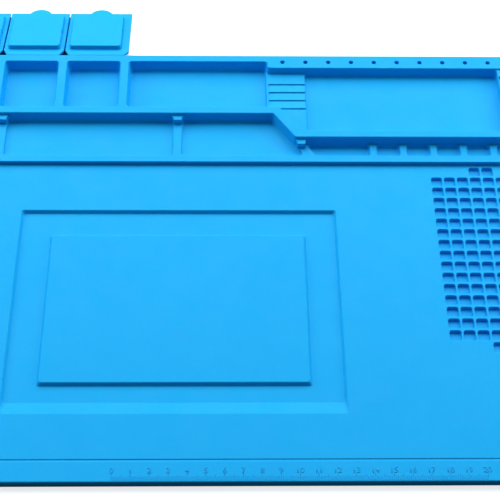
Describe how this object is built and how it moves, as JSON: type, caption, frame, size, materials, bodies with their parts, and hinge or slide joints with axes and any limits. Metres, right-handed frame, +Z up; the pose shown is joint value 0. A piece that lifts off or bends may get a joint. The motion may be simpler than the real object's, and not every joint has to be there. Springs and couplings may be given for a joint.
{
  "type": "parts sorting repair mat",
  "caption": "Silicone work mat with a raised rear bank of sorting compartments, three hinged lids, tool rests, a board recess and a grid of screw cells.",
  "frame": {"origin": "centre of the mat's underside, on the bench", "axes": "+X to the user's right along the ruler, +Y to the rear where the compartments are, +Z up"},
  "size_m": [0.405, 0.3604, 0.0149],
  "materials": {
    "silicone": "matt moulded silicone, bright blue",
    "silicone_lid": "matt moulded silicone, bright blue",
    "silicone_web": "matt moulded silicone, bright blue, thin and bendable"
  },
  "bodies": {
    "mat": {"tray_mat": "silicone", "hinge_web_left": "silicone_web", "hinge_web_middle": "silicone_web", "hinge_web_right": "silicone_web"},
    "left_lid": {"lid_left": "silicone_lid"},
    "middle_lid": {"lid_middle": "silicone_lid"},
    "right_lid": {"lid_right": "silicone_lid"}
  },
  "joints": [
    {"name": "left_lid_hinge", "type": "hinge", "parent": "mat", "child": "left_lid", "pos_m": [-0.1796, 0.1529, 0.0135], "axis": [1, 0, 0], "range_deg": [0, 192.2], "deforming": ["hinge_web_left"]},
    {"name": "middle_lid_hinge", "type": "hinge", "parent": "mat", "child": "middle_lid", "pos_m": [-0.1392, 0.1529, 0.0135], "axis": [1, 0, 0], "range_deg": [0, 192.2], "deforming": ["hinge_web_middle"]},
    {"name": "right_lid_hinge", "type": "hinge", "parent": "mat", "child": "right_lid", "pos_m": [-0.0988, 0.1529, 0.0135], "axis": [1, 0, 0], "range_deg": [0, 192.2], "deforming": ["hinge_web_right"]}
  ]
}
